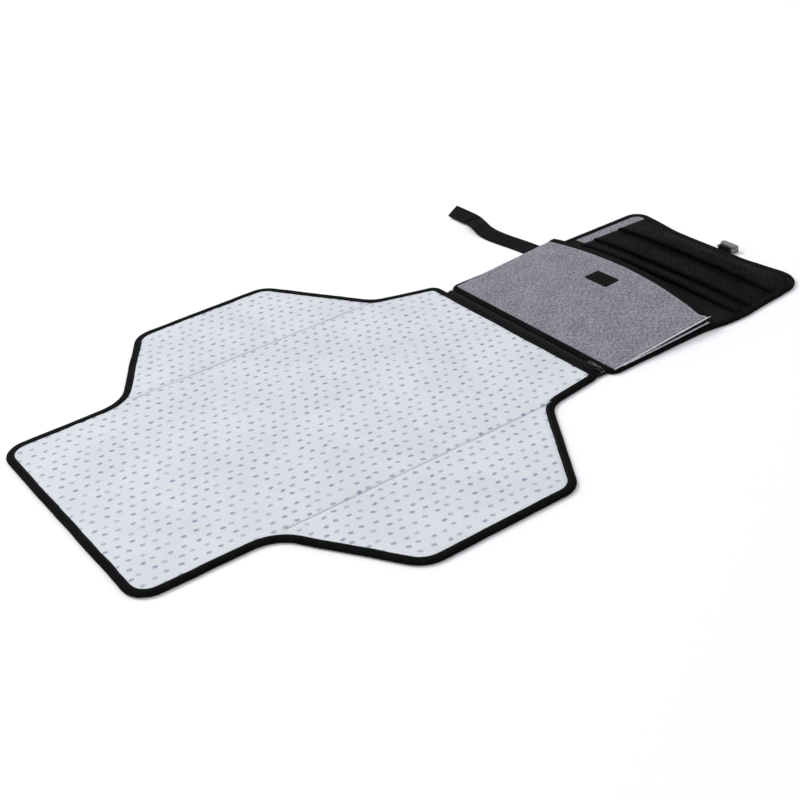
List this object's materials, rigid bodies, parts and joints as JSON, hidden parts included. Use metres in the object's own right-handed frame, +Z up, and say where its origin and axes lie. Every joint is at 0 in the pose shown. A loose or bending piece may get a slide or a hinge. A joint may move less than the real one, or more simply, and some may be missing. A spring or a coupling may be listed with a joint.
{
  "type": "changing pad",
  "caption": "Fold-up travel changing pad with two side wings, zipped to a clutch with a front pocket, mesh pockets, side strap and buckle.",
  "frame": {"origin": "centre of the mat's underside, on the surface that the open pad lies on", "axes": "+X from the foot end to the clutch, +Y to the side with the strap, +Z up out of the printed side"},
  "size_m": [0.8184, 0.574, 0.021],
  "materials": {
    "printed_cover": "wipe-clean film fabric, pale cool grey with small blue-grey dashes",
    "black_binding": "woven grosgrain binding tape, matt black",
    "heather_fabric": "melange grey polyester weave",
    "dark_fabric": "plain black woven fabric",
    "backing_fabric": "plain black woven nylon",
    "foam": "closed-cell foam sheet",
    "mesh": "black knitted mesh",
    "elastic": "black elastic edging",
    "webbing": "black polypropylene webbing",
    "hook_and_loop": "black hook and loop tape",
    "zipper_nylon": "black nylon coil",
    "zipper_metal": "dark nickel",
    "buckle_plastic": "dark grey moulded acetal"
  },
  "bodies": {
    "base": {"base_lining": "heather_fabric", "base_board": "foam", "base_shell": "heather_fabric", "base_binding": "black_binding", "pocket_front": "heather_fabric", "pocket_mouth_binding": "black_binding", "pocket_gusset_near": "dark_fabric", "pocket_gusset_far": "dark_fabric", "inner_pocket": "heather_fabric", "closure_patch": "hook_and_loop", "zipper_tape_mat": "dark_fabric", "zipper_tape_clutch": "dark_fabric", "zipper_coil_mat": "zipper_nylon", "zipper_coil_clutch": "zipper_nylon", "zipper_stops": "zipper_metal", "strap_root": "webbing"},
    "head": {"head_cover": "printed_cover", "head_foam": "foam", "head_backing": "backing_fabric", "head_binding": "black_binding"},
    "middle": {"middle_cover": "printed_cover", "middle_foam": "foam", "middle_backing": "backing_fabric"},
    "foot": {"foot_cover": "printed_cover", "foot_foam": "foam", "foot_backing": "backing_fabric", "foot_binding": "black_binding"},
    "near_wing_middle": {"near_wing_middle_cover": "printed_cover", "near_wing_middle_foam": "foam", "near_wing_middle_backing": "backing_fabric", "near_wing_middle_binding": "black_binding"},
    "near_wing_head": {"near_wing_head_cover": "printed_cover", "near_wing_head_foam": "foam", "near_wing_head_backing": "backing_fabric", "near_wing_head_binding": "black_binding"},
    "far_wing_middle": {"far_wing_middle_cover": "printed_cover", "far_wing_middle_foam": "foam", "far_wing_middle_backing": "backing_fabric", "far_wing_middle_binding": "black_binding"},
    "far_wing_head": {"far_wing_head_cover": "printed_cover", "far_wing_head_foam": "foam", "far_wing_head_backing": "backing_fabric", "far_wing_head_binding": "black_binding"},
    "flap": {"flap_lining": "heather_fabric", "flap_board": "foam", "flap_shell": "heather_fabric", "flap_binding": "black_binding", "mesh_pocket_1": "mesh", "mesh_pocket_2": "mesh", "mesh_pocket_3": "mesh", "mesh_hems": "elastic", "buckle_tab": "webbing"},
    "buckle": {"buckle_socket": "buckle_plastic"},
    "slider": {"zipper_slider": "zipper_metal"},
    "pull": {"zipper_pull": "zipper_metal"},
    "strap_rise": {"strap_rise": "webbing"},
    "strap_end": {"strap_end": "webbing", "strap_hook_patch": "hook_and_loop"}
  },
  "joints": [
    {"name": "head_fold", "type": "hinge", "parent": "base", "child": "head", "pos_m": [0.25925, 0, 0.0242], "axis": [0, 1, 0], "range_deg": [0, 179.9]},
    {"name": "middle_fold", "type": "hinge", "parent": "head", "child": "middle", "pos_m": [0.0675, 0, 0.0132], "axis": [0, 1, 0], "range_deg": [0, 179.9]},
    {"name": "foot_fold", "type": "hinge", "parent": "middle", "child": "foot", "pos_m": [-0.12375, 0, 0.0076], "axis": [0, 1, 0], "range_deg": [0, 179.9]},
    {"name": "near_wing_fold", "type": "hinge", "parent": "middle", "child": "near_wing_middle", "pos_m": [-0.02813, -0.151, 0.0049], "axis": [-1, 0, 0], "range_deg": [0, 179.9]},
    {"name": "near_wing_head_fold", "type": "hinge", "parent": "head", "child": "near_wing_head", "pos_m": [0.13062, -0.151, 0.0049], "axis": [-1, 0, 0], "range_deg": [0, 179.9]},
    {"name": "far_wing_fold", "type": "hinge", "parent": "middle", "child": "far_wing_middle", "pos_m": [-0.02813, 0.151, 0.0049], "axis": [1, 0, 0], "range_deg": [0, 179.9]},
    {"name": "far_wing_head_fold", "type": "hinge", "parent": "head", "child": "far_wing_head", "pos_m": [0.13062, 0.151, 0.0049], "axis": [1, 0, 0], "range_deg": [0, 179.9]},
    {"name": "flap_fold", "type": "hinge", "parent": "base", "child": "flap", "pos_m": [0.43825, 0, 0.032], "axis": [0, -1, 0], "range_deg": [0, 179.9]},
    {"name": "strap_lift", "type": "hinge", "parent": "base", "child": "strap_rise", "pos_m": [0.39825, 0.16, 0.006], "axis": [1, 0, 0], "range_deg": [0, 90]},
    {"name": "strap_wrap", "type": "hinge", "parent": "strap_rise", "child": "strap_end", "pos_m": [0.39825, 0.216, 0.006], "axis": [1, 0, 0], "range_deg": [0, 90]},
    {"name": "buckle_swing", "type": "hinge", "parent": "flap", "child": "buckle", "pos_m": [0.54955, -0.034, 0.004], "axis": [0, 1, 0], "range_deg": [-15, 90]},
    {"name": "slider_travel", "type": "slide", "parent": "base", "child": "slider", "axis": [0, 1, 0], "range_m": [0, 0.2366]},
    {"name": "pull_flip", "type": "hinge", "parent": "slider", "child": "pull", "pos_m": [0.2634, -0.1376, 0.0069], "axis": [1, 0, 0], "range_deg": [0, 165]}
  ],
  "couplings": [
    {"joint": "near_wing_head_fold", "follows": "near_wing_fold", "ratio": 1},
    {"joint": "far_wing_head_fold", "follows": "far_wing_fold", "ratio": 1}
  ]
}
